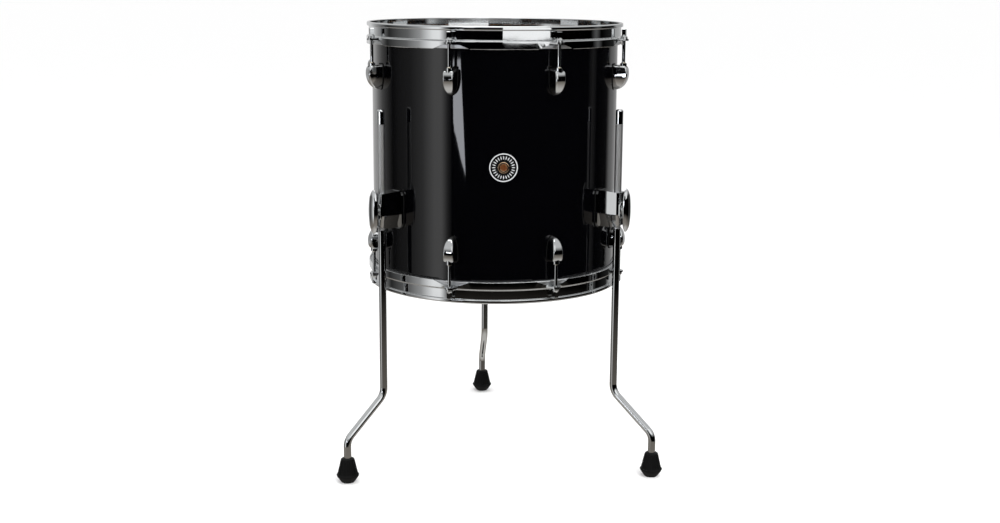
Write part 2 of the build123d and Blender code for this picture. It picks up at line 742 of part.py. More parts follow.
with BuildPart() as wing_nut:
    with BuildSketch(Plane.XZ):
        wing_low = BRACKET_Z - WING_L / 2
        wing_top = BRACKET_Z + WING_L / 2
        relief = WING_X + WING_RELIEF
        with BuildLine():
            tip_x = relief + WING_END_T
            ThreePointArc((tip_x, wing_top), (WING_OUT, BRACKET_Z), (tip_x, wing_low))
            Polyline((tip_x, wing_low), (relief, wing_low), (relief, wing_top), (tip_x, wing_top))
        make_face()
    extrude(amount=WING_W / 2, both=True)
    with BuildSketch(Plane.YZ.offset(WING_X)):
        with Locations((0, BRACKET_Z)):
            Ellipse(WING_W / 2, WING_L / 2)
    extrude(amount=WING_T, mode=Mode.INTERSECT)
    with BuildSketch(Plane.YZ.offset(WING_X)):
        with Locations((0, BRACKET_Z)):
            Circle(WING_HUB_R)
    extrude(amount=WING_RELIEF + WING_END_T / 2)
    with BuildSketch(Plane.YZ.offset(WING_X)):
        with Locations((0, BRACKET_Z)):
            Circle(EYE_SHANK_R + RUN_CLEAR)
    extrude(amount=WING_T - EYE_SHANK_END + WING_THREAD_RELIEF, mode=Mode.SUBTRACT)

bracket_screw = screws(
    BRACKET_SCREW_R,
    SHELL_R + BRACKET_SCREW_DEPTH,
    BRACKET_SCREW_HEAD_R,
    BRACKET_SCREW_HEAD_H,
    *BRACKET_SCREW_AT,
)
bracket_washer = washers(bracket_hole_r, *BRACKET_SCREW_AT)

# ---- legs and feet -----------------------------------------------------------------
with BuildPart() as leg:
    with BuildLine(Plane.XZ):
        FilletPolyline(
            (LEG_X, LEG_TOP),
            (LEG_X, LEG_BEND_1_Z),
            (FOOT_X, LEG_BEND_2_Z),
            (FOOT_X, LEG_END_Z),
            radius=[LEG_BEND_1_R, LEG_BEND_2_R],
        )
    with BuildSketch(Plane.XY.offset(LEG_TOP)):
        with Locations((LEG_X, 0)):
            Circle(LEG_R)
    sweep()
    fillet(leg.edges().group_by(Axis.Z)[-1], LEG_TIP_FILLET)
    chamfer(leg.edges().group_by(Axis.Z)[0], LEG_END_CHAMFER)

with BuildPart() as foot:
    with BuildSketch(Plane.XZ):
        with BuildLine():
            FilletPolyline(
                (FOOT_X, 0),
                (FOOT_X + FOOT_BASE_R, 0),
                (FOOT_X + FOOT_WIDE_R, FOOT_WIDE_Z),
                (FOOT_X + FOOT_TOP_R, FOOT_H),
                (FOOT_X + LEG_R + FOOT_FIT, FOOT_H),
                (FOOT_X + LEG_R + FOOT_FIT, LEG_END_Z),
                (FOOT_X, LEG_END_Z),
                radius=FOOT_ROUNDS,
                close=True,
            )
        make_face()
    revolve(axis=Axis((FOOT_X, 0, 0), (0, 0, 1)))

bracket_pieces = {
    "bracket": bracket,
    "bracket_gasket": bracket_gasket,
    "eye_bolt": eye_bolt,
    "clamp_saddle": clamp_saddle,
    "wing_nut": wing_nut,
    "leg": leg,
    "rubber_foot": foot,
}
for side, angle in LEG_ANGLES.items():
    for name, piece in bracket_pieces.items():
        save(turned(piece, angle), f"{name}_{side}")

for name, piece in {"bracket_screws": bracket_screw, "bracket_screw_washers": bracket_washer}.items():
    with BuildPart() as three_pairs:
        for angle in LEG_ANGLES.values():
            with Locations(Location((0, 0, 0), (0, 0, angle))):
                add(piece.part)
    save(three_pairs, name)
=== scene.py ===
"""Looks for a packed floor tom drum, laid out as a Blender add-on and run as a script."""

import json
import math

import bmesh
import bpy
from bpy.props import FloatProperty, FloatVectorProperty, IntProperty, PointerProperty
from mathutils import Matrix, Vector


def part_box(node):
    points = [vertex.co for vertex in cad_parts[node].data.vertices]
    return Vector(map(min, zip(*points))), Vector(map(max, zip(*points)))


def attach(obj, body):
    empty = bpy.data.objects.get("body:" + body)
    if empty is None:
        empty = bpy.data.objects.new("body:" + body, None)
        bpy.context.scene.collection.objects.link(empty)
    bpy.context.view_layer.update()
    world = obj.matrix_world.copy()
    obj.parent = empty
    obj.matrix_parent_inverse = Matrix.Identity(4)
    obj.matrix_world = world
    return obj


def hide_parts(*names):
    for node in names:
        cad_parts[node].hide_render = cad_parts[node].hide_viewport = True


bl_info = {
    "name": "Floor Tom Looks",
    "version": (1, 0, 0),
    "blender": (4, 5, 0),
    "location": "View3D > Sidebar > Floor Tom",
    "description": "Finishes the lacquered shell, chromed hardware, wing nuts and rubber feet of a floor tom",
    "category": "Object",
}

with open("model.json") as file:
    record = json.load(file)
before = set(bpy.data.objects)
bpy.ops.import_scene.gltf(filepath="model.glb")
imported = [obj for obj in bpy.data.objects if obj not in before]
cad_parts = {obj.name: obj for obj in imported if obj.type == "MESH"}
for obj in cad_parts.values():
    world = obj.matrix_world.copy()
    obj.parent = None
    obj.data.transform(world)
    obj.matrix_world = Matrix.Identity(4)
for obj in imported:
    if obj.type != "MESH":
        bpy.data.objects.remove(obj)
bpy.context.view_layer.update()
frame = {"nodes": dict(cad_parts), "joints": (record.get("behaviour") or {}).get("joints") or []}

# ---- places read from the frame, in metres -------------------------------------------
SIDES = ("left", "right", "rear")
MM = 0.001
shell_low, shell_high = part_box("shell")
leg_low, leg_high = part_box("leg_rear")
foot_low, foot_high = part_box("rubber_foot_rear")
wing_low, wing_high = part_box("wing_nut_rear")
badge_low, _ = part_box("badge")
bracket_low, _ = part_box("bracket_rear")

AXIS = Vector(((shell_low.x + shell_high.x) / 2, (shell_low.y + shell_high.y) / 2, 0))
SHELL_R = (shell_high.x - shell_low.x) / 2
LEG_R = (leg_high.x - leg_low.x) / 2
LEG_CIRCLE = leg_low.y - AXIS.y + LEG_R
FOOT_CIRCLE = (foot_low.y + foot_high.y) / 2 - AXIS.y
JOINTS = {joint["name"]: joint for joint in frame["joints"]}


def linear(hex_code):
    """The linear colour of an sRGB hex value, with an alpha of one."""
    parts = [int(hex_code[i:i + 2], 16) / 255 for i in (0, 2, 4)]
    return (*(p / 12.92 if p <= 0.04045 else ((p + 0.055) / 1.055) ** 2.4 for p in parts), 1.0)


def colour_prop(name, description, hex_code):
    """A colour property whose default is an sRGB hex value."""
    return FloatVectorProperty(
        name=name, description=description, subtype="COLOR", size=4, min=0, max=1, default=linear(hex_code)
    )


def length_prop(name, description, default):
    """A length property in metres."""
    return FloatProperty(name=name, description=description, unit="LENGTH", min=0, default=default)


def angle_prop(name, description, degrees):
    """An angle property."""
    return FloatProperty(name=name, description=description, subtype="ANGLE", default=math.radians(degrees))


# ---- sizes and colours that a user may change ----------------------------------------
class FloorTomFinishes(bpy.types.PropertyGroup):
    """Colours of the drum's own materials."""

    lacquer: colour_prop("Lacquer", "Gloss lacquer on the outside of the shell", "020203")
    maple_light: colour_prop("Maple, light", "Pale bands of the shell's inner veneer", "D09A5E")
    maple_dark: colour_prop("Maple, dark", "Dark bands of the shell's inner veneer", "A8683A")
    chrome: colour_prop("Chrome", "Bright chrome plate", "C6C8C9")
    film: colour_prop("Head film", "Clear polyester of the drum heads", "F4F6F7")
    aluminium: colour_prop("Aluminium", "Flesh hoops of the drum heads", "C6C8CA")
    zinc: colour_prop("Zinc plate", "Screws and washers inside the shell", "B4B8BB")
    nickel: colour_prop("Nickel plate", "Swivel nuts in the lugs", "CFC8B8")
    brass: colour_prop("Brass", "Air-vent grommet", "EBC9A6")
    enamel: colour_prop("Enamel", "Sunk field of the badge", "060606")
    rubber: colour_prop("Rubber", "Feet and gaskets", "060606")
    rubber_bloom: colour_prop("Rubber, bloom", "Faint greyish clouds on the rubber", "101010")


class FloorTomWingNut(bpy.types.PropertyGroup):
    """Sizes of a cast wing nut."""

    cuts: IntProperty(
        name="Cuts", description="Cuts along each side of the blank", min=3, max=16, default=9
    )
    roundness: FloatProperty(
        name="Roundness", description="From a block, 0, to an oval, 1", min=0, max=1, default=0.86
    )
    relief: length_prop("Relief", "Space between the wing and the saddle, round the hub", 1.6 * MM)
    back_share: FloatProperty(
        name="Back", description="Share of the wing's depth behind its rim", min=0.1, max=0.6, default=0.3
    )
    hollow: length_prop("Hollow", "Depth of the dish cast into the wing's back", 1.2 * MM)


class FloorTomFoot(bpy.types.PropertyGroup):
    """Sizes of a rubber foot."""

    base_radius: length_prop("Base radius", "Radius that stands on the floor", 10.0 * MM)
    base_round: length_prop("Base rounding", "Radius of the edge of the base", 1.2 * MM)
    collar_height: length_prop("Collar height", "Height of the widest rim", 11.5 * MM)
    collar_thickness: length_prop("Collar thickness", "Height of the rim's own edge", 2.2 * MM)
    collar_proud: length_prop("Collar proud", "How far the rim stands out from the cone above it", 1.7 * MM)
    top_radius: length_prop("Top radius", "Radius of the foot round the leg", 10.7 * MM)
    ribs: IntProperty(
        name="Ribs", description="Upright ribs moulded round the cone", min=6, max=24, default=12
    )
    rib_height: length_prop("Rib height", "How far a rib stands out", 0.55 * MM)


class FloorTomStage(bpy.types.PropertyGroup):
    """Camera, floor and lights."""

    camera_distance: length_prop("Camera distance", "From the drum's axis, along the floor", 2.3342)
    camera_height: length_prop("Camera height", "Above the floor", 0.8057)
    camera_turn: angle_prop("Camera turn", "Round the drum, to the left", 4.05)
    camera_pitch: angle_prop("Camera pitch", "Downwards", 11.70)
    camera_yaw: angle_prop("Camera yaw", "Away from the drum's axis, to the right", 0.265)
    camera_roll: angle_prop("Camera roll", "About its own line of sight", 0.375)
    camera_lens: FloatProperty(name="Lens", description="Focal length", unit="CAMERA", default=50.1)
    floor_colour: colour_prop("Floor", "Pale studio floor", "F6F6F6")
    backdrop: colour_prop("Backdrop", "What the camera sees past the floor", "FAFAFA")


# ---- the studio, with lengths in metres ------------------------------------------------
# How bright the walls are that the chrome and the lacquer reflect, by azimuth in degrees to
# the right of the camera, seen from the drum.
WALLS = (
    (-180, 0.6), (-147, 0.85), (-128, 0.35), (-110, 0.03), (-84, 0.18), (-70, 0.45), (-57, 1.2), (-50, 1.25),
    (-44, 0.3), (-40, 0.0), (96, 0.0), (103, 0.12), (110, 0.0), (130, 0.02), (138, 0.45), (180, 0.6),
)
# Where the walls give way to the ceiling above and to the floor's glow below, and where that
# glow changes, as heights on a sphere round the drum: 0 is level and 1 is straight up.
CEILING_FROM, CEILING_FULL = 0.1, 0.42
GROUND_FROM, GROUND_FULL = -0.22, -0.34
GLOW_FROM, GLOW_FULL = -0.38, -0.8
CEILING = 0.75
FLOOR_GLOW_NEAR, FLOOR_GLOW_UNDER = "8F8880", "D8D4CF"
BACKDROP_STRENGTH = 1.16
# Each softbox: azimuth, distance, lowest and highest edge, width, and how brightly it lights.
SOFTBOXES = {
    "key_right": (27, 2.0, 0.62, 2.1, 1.5, 6.0),
    "key_left": (-22, 2.0, 0.95, 2.2, 0.35, 5.0),
}
# How bright a softbox looks in chrome: so low that its edges still show against the backdrop.
SOFTBOX_REFLECTION = 1.5
PANE_BEHIND_LIGHT = 10 * MM
OVERHEAD_HEIGHT, OVERHEAD_WIDTH, OVERHEAD_POWER = 2.6, 1.8, 22
# A leaning window that the shell reflects: its corners as azimuth and height.
WINDOW_DISTANCE = 2.0
WINDOW_REFLECTION = 6.6
WINDOW_CORNERS = ((-36.5, 0.57), (-36, 0.39), (-29.5, 0.29), (-25, 0.24), (-27, 0.39), (-29.6, 0.57))
FLOOR_SIZE = 120
SENSOR_WIDTH = 36.0  # millimetres, for the lens's focal length

GROUPS = {
    "floor_tom_finishes": FloorTomFinishes,
    "floor_tom_wing_nut": FloorTomWingNut,
    "floor_tom_foot": FloorTomFoot,
    "floor_tom_stage": FloorTomStage,
}


# ---- shared helpers ------------------------------------------------------------------
SAME_POINT = 0.01 * MM  # corners closer than this are one
SHARP_ANGLE = 28  # degrees past which an edge is rounded


def deselect():
    """Leaves edit mode and deselects everything."""
    if bpy.context.object and bpy.context.object.mode == "EDIT":
        bpy.ops.object.mode_set(mode="OBJECT")
    bpy.ops.object.select_all(action="DESELECT")


def begin(name):
    """Names the primitive that was just added and opens it in edit mode, with nothing selected."""
    piece = bpy.context.object
    piece.name = piece.data.name = name
    bpy.ops.object.mode_set(mode="EDIT")
    bpy.ops.mesh.select_mode(type="FACE")
    bpy.ops.mesh.select_all(action="DESELECT")
    return piece


def pick(piece, wanted):
    """Selects the faces for which wanted(face) is true."""
    bpy.ops.mesh.select_all(action="DESELECT")
    mesh = bmesh.from_edit_mesh(piece.data)
    for face in mesh.faces:
        face.select_set(wanted(face))
    mesh.select_flush_mode()
    bmesh.update_edit_mesh(piece.data)


def end(piece, bevel, levels, smooth_angle):
    """Closes edit mode and finishes the piece with rounded edges, subdivision and smooth shading."""
    bpy.ops.mesh.select_all(action="SELECT")
    bpy.ops.mesh.remove_doubles(threshold=SAME_POINT)
    bpy.ops.mesh.normals_make_consistent(inside=False)
    bpy.ops.object.mode_set(mode="OBJECT")
    if bevel:
        edge = piece.modifiers.new("Rounded edges", "BEVEL")
        edge.width, edge.segments = bevel, 3
        edge.limit_method, edge.angle_limit = "ANGLE", math.radians(SHARP_ANGLE)
        bpy.ops.object.modifier_apply(modifier=edge.name)
    if levels:
        fine = piece.modifiers.new("Smooth form", "SUBSURF")
        fine.levels = fine.render_levels = levels
        bpy.ops.object.modifier_apply(modifier=fine.name)
    bpy.ops.object.shade_smooth_by_angle(angle=math.radians(smooth_angle))


def join(parts, name):
    """Joins pieces into one and names it."""
    deselect()
    for part in parts:
        part.select_set(True)
    bpy.context.view_layer.objects.active = parts[0]
    bpy.ops.object.join()
    piece = bpy.context.object
    piece.name = piece.data.name = name
    return piece


def placed_copy(master, name, matrix):
    """A copy with a mesh of its own; the mesh is moved, so that its object stays at the origin."""
    copy = master.copy()
    copy.data = master.data.copy()
    copy.name = copy.data.name = name
    bpy.context.scene.collection.objects.link(copy)
    copy.data.transform(matrix)
    return copy


def side_matrix(side):
    """Turns something drawn along +X about the drum's axis to where a leg's bracket is."""
    out = Vector(JOINTS[f"wing_nut_{side}_turn"]["axis"])
    return Matrix.Translation(AXIS) @ Matrix.Rotation(math.atan2(out.y, out.x), 4, "Z")


# ---- real sizes of the surfaces' patterns, in metres ----------------------------------
LACQUER_FROM, LACQUER_FULL = 0.5 * MM, 0.3 * MM  # how far under the surface the lacquer begins and is full
GRAIN_WIDTH, GRAIN_LENGTH = 2.2 * MM, 110 * MM
FIGURE_WIDTH = 90 * MM  # the wide clouds of maple's figure
PLY_PAIR = 2.3 * MM  # one pale ply and one dark
ORANGE_PEEL = 14 * MM
SMUDGE = 24 * MM  # marks of handling on plate
ROD_SMUDGE = 20 * MM
KNURL_STARTS = 22  # a real knurl has about 30 round the rod; drawn coarser so that it shows
KNURL_STRETCH = 1.7  # a diamond's height over its width
KNURL_FADE = 0.5 * MM
BRIGHT_TIP = 23 * MM  # the rod's end above its knurling
FILM_RIPPLE = 60 * MM
ROLLING_LINE = 0.4 * MM
PLATE_CLOUD = 2.5 * MM
MOULD_GRIT = 0.7 * MM
BLOOM_CLOUD = 9 * MM
BADGE_FIELD_DEPTH = 0.5 * MM
BADGE_FIELD_EDGE = 0.08 * MM
BADGE_SCUFF = 3 * MM
FLOOR_CLOUD = 400 * MM

# A Mix node's sockets share their names, so they are told apart by index.
SHARE, NUMBER_A, NUMBER_B, NUMBER_OUT = 0, 2, 3, 0
COLOUR_A, COLOUR_B, COLOUR_OUT = 6, 7, 2
COLOURS = {"data_type": "RGBA"}


# ---- materials -----------------------------------------------------------------------
def node(tree, kind, settings=None, inputs=None):
    """Adds a node, sets its properties, and fills each named input with a value or links it."""
    made = tree.nodes.new(kind)
    for name, value in (settings or {}).items():
        setattr(made, name, value)
    for name, value in (inputs or {}).items():
        if isinstance(value, bpy.types.NodeSocket):
            tree.links.new(value, made.inputs[name])
        else:
            made.inputs[name].default_value = value
    return made


def begin_material(name):
    """An empty node material."""
    material = bpy.data.materials.new(name)
    material.use_nodes = True
    material.node_tree.nodes.clear()
    return material, material.node_tree


def finish_material(material, inputs):
    """Adds the surface's shader with its inputs, and links it to the output."""
    shader = node(material.node_tree, "ShaderNodeBsdfPrincipled", None, inputs)
    node(material.node_tree, "ShaderNodeOutputMaterial", None, {"Surface": shader.outputs["BSDF"]})
    return material


def about(tree, centre, scale=(1, 1, 1)):
    """Object coordinates measured from a point, in metres, and then scaled."""
    coords = node(tree, "ShaderNodeTexCoord")
    moved = tuple(-c * s for c, s in zip(centre, scale))
    return node(tree, "ShaderNodeMapping", None, {
        "Vector": coords.outputs["Object"], "Location": moved, "Scale": scale,
    }).outputs["Vector"]


def radius_about(tree, centre):
    """Distance from an upright line."""
    flat = about(tree, centre, (1, 1, 0))
    return node(tree, "ShaderNodeVectorMath", {"operation": "LENGTH"}, {0: flat}).outputs["Value"]


def lacquered_maple(finish):
    """Maple ply with a polished nitrocellulose lacquer outside, and oiled veneer inside."""
    # The lacquer is wet-looking, with a very faint orange peel. Inside, the veneer's grain
    # runs up the shell, and the bearing edges show the plies as rings.
    material, tree = begin_material("gloss_lacquer_on_maple_ply")
    place = about(tree, AXIS)
    radius = radius_about(tree, AXIS)
    outside = node(tree, "ShaderNodeMapRange", None, {
        "Value": radius, "From Min": SHELL_R - LACQUER_FROM, "From Max": SHELL_R - LACQUER_FULL,
    }).outputs["Result"]

    along_grain = about(tree, AXIS, (1 / GRAIN_WIDTH, 1 / GRAIN_WIDTH, 1 / GRAIN_LENGTH))
    grain = node(tree, "ShaderNodeTexNoise", None, {
        "Vector": along_grain, "Scale": 1.0, "Detail": 6.0, "Roughness": 0.62, "Distortion": 0.4,
    }).outputs["Fac"]
    figure = node(tree, "ShaderNodeTexNoise", None, {
        "Vector": place, "Scale": 1 / FIGURE_WIDTH, "Detail": 3.0, "Distortion": 0.8,
    }).outputs["Fac"]
    full_turn = 2 * math.pi
    phase = node(tree, "ShaderNodeMath", {"operation": "MULTIPLY"}, {0: radius, 1: full_turn / PLY_PAIR})
    plies = node(tree, "ShaderNodeMath", {"operation": "SINE"}, {0: phase.outputs[0]}).outputs[0]

    pale_share = node(tree, "ShaderNodeMapRange", None, {
        "Value": grain, "From Min": 0.32, "From Max": 0.68,
    }).outputs["Result"]
    wood = node(tree, "ShaderNodeMix", COLOURS, {
        SHARE: pale_share, COLOUR_A: finish.maple_dark, COLOUR_B: finish.maple_light,
    }).outputs[COLOUR_OUT]
    for pattern, low, high, most in ((figure, 0.35, 0.7, 0.35), (plies, 0.2, 0.9, 0.3)):
        dark_share = node(tree, "ShaderNodeMapRange", None, {
            "Value": pattern, "From Min": low, "From Max": high, "To Max": most,
        }).outputs["Result"]
        wood = node(tree, "ShaderNodeMix", COLOURS, {
            SHARE: dark_share, COLOUR_A: wood, COLOUR_B: finish.maple_dark,
        }).outputs[COLOUR_OUT]
    colour = node(tree, "ShaderNodeMix", COLOURS, {
        SHARE: outside, COLOUR_A: wood, COLOUR_B: finish.lacquer,
    }).outputs[COLOUR_OUT]

    peel = node(tree, "ShaderNodeTexNoise", None, {
        "Vector": place, "Scale": 1 / ORANGE_PEEL, "Detail": 2.0,
    }).outputs["Fac"]
    height = node(tree, "ShaderNodeMix", None, {
        SHARE: outside, NUMBER_A: grain, NUMBER_B: peel,
    }).outputs[NUMBER_OUT]
    bump = node(tree, "ShaderNodeBump", None, {"Strength": 0.12, "Distance": 0.05 * MM, "Height": height})
    oiled = node(tree, "ShaderNodeMapRange", None, {
        "Value": grain, "From Min": 0.3, "From Max": 0.7, "To Min": 0.38, "To Max": 0.52,
    }).outputs["Result"]
    roughness = node(tree, "ShaderNodeMix", None, {
        SHARE: outside, NUMBER_A: oiled, NUMBER_B: 0.035,
    }).outputs[NUMBER_OUT]
    return finish_material(material, {
        "Base Color": colour, "Roughness": roughness, "IOR": 1.52, "Normal": bump.outputs["Normal"],
    })


def chrome_plate(name, colour, waviness, ripple, haze):
    """Bright chrome plate, with the ripple its metal had before plating and a faint haze of handling."""
    material, tree = begin_material(name)
    place = about(tree, AXIS)
    smudge = node(tree, "ShaderNodeTexNoise", None, {
        "Vector": place, "Scale": 1 / SMUDGE, "Detail": 5.0, "Roughness": 0.6,
    }).outputs["Fac"]
    roughness = node(tree, "ShaderNodeMapRange", None, {
        "Value": smudge, "From Min": 0.35, "From Max": 0.75, "To Min": 0.025, "To Max": haze,
    }).outputs["Result"]
    wave = node(tree, "ShaderNodeTexNoise", None, {
        "Vector": place, "Scale": 1 / ripple, "Detail": 1.5,
    }).outputs["Fac"]
    bump = node(tree, "ShaderNodeBump", None, {"Strength": 0.3, "Distance": waviness, "Height": wave})
    return finish_material(material, {
        "Base Color": colour, "Metallic": 1.0, "Roughness": roughness, "Normal": bump.outputs["Normal"],
    })


def knurled_chrome(name, colour, centre, knurl_low, knurl_high):
    """A chromed steel rod, bright all over except where diamond knurling lets the clamp grip it."""
    material, tree = begin_material(name)
    place = about(tree, centre)
    axes = node(tree, "ShaderNodeSeparateXYZ", None, {"Vector": place}).outputs
    turn = node(tree, "ShaderNodeMath", {"operation": "ARCTAN2"}, {0: axes["Y"], 1: axes["X"]}).outputs[0]
    full_turn = 2 * math.pi
    diamond = KNURL_STRETCH * full_turn * LEG_R / KNURL_STARTS
    around = node(tree, "ShaderNodeMath", {"operation": "MULTIPLY"}, {0: turn, 1: KNURL_STARTS})
    along = node(tree, "ShaderNodeMath", {"operation": "MULTIPLY"}, {0: axes["Z"], 1: full_turn / diamond})
    threads = []
    for operation in ("ADD", "SUBTRACT"):
        slant = node(tree, "ShaderNodeMath", {"operation": operation}, {
            0: around.outputs[0], 1: along.outputs[0],
        })
        threads.append(node(tree, "ShaderNodeMath", {"operation": "COSINE"}, {0: slant.outputs[0]}))
    diamonds = node(tree, "ShaderNodeMath", {"operation": "MINIMUM"}, {
        0: threads[0].outputs[0], 1: threads[1].outputs[0],
    }).outputs[0]

    # The knurled zone fades in and out over half a millimetre.
    above = node(tree, "ShaderNodeMapRange", None, {
        "Value": axes["Z"], "From Min": knurl_low, "From Max": knurl_low + KNURL_FADE,
    }).outputs["Result"]
    below = node(tree, "ShaderNodeMapRange", None, {
        "Value": axes["Z"], "From Min": knurl_high - KNURL_FADE, "From Max": knurl_high,
        "To Min": 1.0, "To Max": 0.0,
    }).outputs["Result"]
    zone = node(tree, "ShaderNodeMath", {"operation": "MULTIPLY"}, {0: above, 1: below}).outputs[0]
    height = node(tree, "ShaderNodeMath", {"operation": "MULTIPLY"}, {0: diamonds, 1: zone}).outputs[0]
    bump = node(tree, "ShaderNodeBump", None, {"Strength": 0.6, "Distance": 0.12 * MM, "Height": height})

    smudge = node(tree, "ShaderNodeTexNoise", None, {
        "Vector": place, "Scale": 1 / ROD_SMUDGE, "Detail": 4.0,
    }).outputs["Fac"]
    bright = node(tree, "ShaderNodeMapRange", None, {
        "Value": smudge, "From Min": 0.35, "From Max": 0.75, "To Min": 0.025, "To Max": 0.07,
    }).outputs["Result"]
    roughness = node(tree, "ShaderNodeMix", None, {
        SHARE: zone, NUMBER_A: bright, NUMBER_B: 0.34,
    }).outputs[NUMBER_OUT]
    return finish_material(material, {
        "Base Color": colour, "Metallic": 1.0, "Roughness": roughness, "Normal": bump.outputs["Normal"],
    })


def clear_film(finish):
    """Clear polyester film: water-clear and glossy, with a faint ripple from its tension."""
    material, tree = begin_material("clear_polyester_film")
    ripple = node(tree, "ShaderNodeTexNoise", None, {
        "Vector": about(tree, AXIS), "Scale": 1 / FILM_RIPPLE, "Detail": 2.0,
    }).outputs["Fac"]
    roughness = node(tree, "ShaderNodeMapRange", None, {
        "Value": ripple, "From Min": 0.3, "From Max": 0.7, "To Min": 0.02, "To Max": 0.06,
    }).outputs["Result"]
    bump = node(tree, "ShaderNodeBump", None, {"Strength": 0.1, "Distance": 0.1 * MM, "Height": ripple})
    return finish_material(material, {
        "Base Color": finish.film, "Transmission Weight": 1.0, "IOR": 1.57,
        "Roughness": roughness, "Normal": bump.outputs["Normal"],
    })


def rolled_aluminium(finish):
    """Extruded aluminium channel rolled into a hoop: fine lines run round it."""
    material, tree = begin_material("rolled_aluminium")
    radius = radius_about(tree, AXIS)
    up = node(tree, "ShaderNodeSeparateXYZ", None, {"Vector": about(tree, AXIS)}).outputs["Z"]
    section = node(tree, "ShaderNodeCombineXYZ", None, {"X": radius, "Z": up}).outputs["Vector"]
    lines = node(tree, "ShaderNodeTexNoise", None, {
        "Vector": section, "Scale": 1 / ROLLING_LINE, "Detail": 3.0,
    }).outputs["Fac"]
    roughness = node(tree, "ShaderNodeMapRange", None, {
        "Value": lines, "From Min": 0.3, "From Max": 0.7, "To Min": 0.26, "To Max": 0.4,
    }).outputs["Result"]
    bump = node(tree, "ShaderNodeBump", None, {"Strength": 0.2, "Distance": 0.03 * MM, "Height": lines})
    return finish_material(material, {
        "Base Color": finish.aluminium, "Metallic": 1.0, "Roughness": roughness,
        "Normal": bump.outputs["Normal"],
    })


def plated_small_parts(name, colour, smoothest, roughest):
    """Barrel-plated screws and nuts: tumbled soft, with a slightly uneven plate."""
    material, tree = begin_material(name)
    cloud = node(tree, "ShaderNodeTexNoise", None, {
        "Vector": about(tree, AXIS), "Scale": 1 / PLATE_CLOUD, "Detail": 4.0,
    }).outputs["Fac"]
    roughness = node(tree, "ShaderNodeMapRange", None, {
        "Value": cloud, "From Min": 0.3, "From Max": 0.7, "To Min": smoothest, "To Max": roughest,
    }).outputs["Result"]
    bump = node(tree, "ShaderNodeBump", None, {"Strength": 0.15, "Distance": 0.03 * MM, "Height": cloud})
    return finish_material(material, {
        "Base Color": colour, "Metallic": 1.0, "Roughness": roughness, "Normal": bump.outputs["Normal"],
    })


def moulded_rubber(finish):
    """Moulded black rubber: nearly matt, with a fine mould texture and a trace of bloom."""
    material, tree = begin_material("moulded_black_rubber")
    place = about(tree, AXIS)
    grit = node(tree, "ShaderNodeTexNoise", None, {
        "Vector": place, "Scale": 1 / MOULD_GRIT, "Detail": 3.0,
    }).outputs["Fac"]
    bloom = node(tree, "ShaderNodeTexNoise", None, {
        "Vector": place, "Scale": 1 / BLOOM_CLOUD, "Detail": 4.0,
    }).outputs["Fac"]
    bloomed = node(tree, "ShaderNodeMapRange", None, {
        "Value": bloom, "From Min": 0.45, "From Max": 0.8, "To Max": 0.35,
    }).outputs["Result"]
    colour = node(tree, "ShaderNodeMix", COLOURS, {
        SHARE: bloomed, COLOUR_A: finish.rubber, COLOUR_B: finish.rubber_bloom,
    }).outputs[COLOUR_OUT]
    roughness = node(tree, "ShaderNodeMapRange", None, {
        "Value": bloom, "From Min": 0.3, "From Max": 0.7, "To Min": 0.5, "To Max": 0.68,
    }).outputs["Result"]
    bump = node(tree, "ShaderNodeBump", None, {"Strength": 0.35, "Distance": 0.06 * MM, "Height": grit})
    return finish_material(material, {
        "Base Color": colour, "Roughness": roughness, "IOR": 1.52, "Specular IOR Level": 0.12,
        "Normal": bump.outputs["Normal"],
    })


def enamelled_badge(finish, field_radius):
    """A stamped badge: black enamel sunk between polished raised marks and a polished rim."""
    material, tree = begin_material("enamelled_stamped_badge")
    radius = radius_about(tree, AXIS)
    raised = node(tree, "ShaderNodeMapRange", None, {
        "Value": radius, "From Min": field_radius, "From Max": field_radius + BADGE_FIELD_EDGE,
    }).outputs["Result"]
    colour = node(tree, "ShaderNodeMix", COLOURS, {
        SHARE: raised, COLOUR_A: finish.enamel, COLOUR_B: finish.aluminium,
    }).outputs[COLOUR_OUT]
    metal = node(tree, "ShaderNodeMapRange", None, {"Value": raised, "To Max": 0.4}).outputs["Result"]
    scuff = node(tree, "ShaderNodeTexNoise", None, {
        "Vector": about(tree, AXIS), "Scale": 1 / BADGE_SCUFF, "Detail": 5.0,
    }).outputs["Fac"]
    polish = node(tree, "ShaderNodeMapRange", None, {
        "Value": scuff, "From Min": 0.3, "From Max": 0.7, "To Min": 0.16, "To Max": 0.3,
    }).outputs["Result"]
    bump = node(tree, "ShaderNodeBump", None, {"Strength": 0.15, "Distance": 0.04 * MM, "Height": scuff})
    return finish_material(material, {
        "Base Color": colour, "Metallic": metal, "Roughness": polish, "Normal": bump.outputs["Normal"],
    })


def studio_paint(stage):
    """Painted studio floor: pale and matt."""
    material, tree = begin_material("pale_studio_paint")
    cloud = node(tree, "ShaderNodeTexNoise", None, {
        "Vector": about(tree, AXIS), "Scale": 1 / FLOOR_CLOUD, "Detail": 2.0,
    }).outputs["Fac"]
    roughness = node(tree, "ShaderNodeMapRange", None, {
        "Value": cloud, "From Min": 0.3, "From Max": 0.7, "To Min": 0.75, "To Max": 0.85,
    }).outputs["Result"]
    return finish_material(material, {"Base Color": stage.floor_colour, "Roughness": roughness})


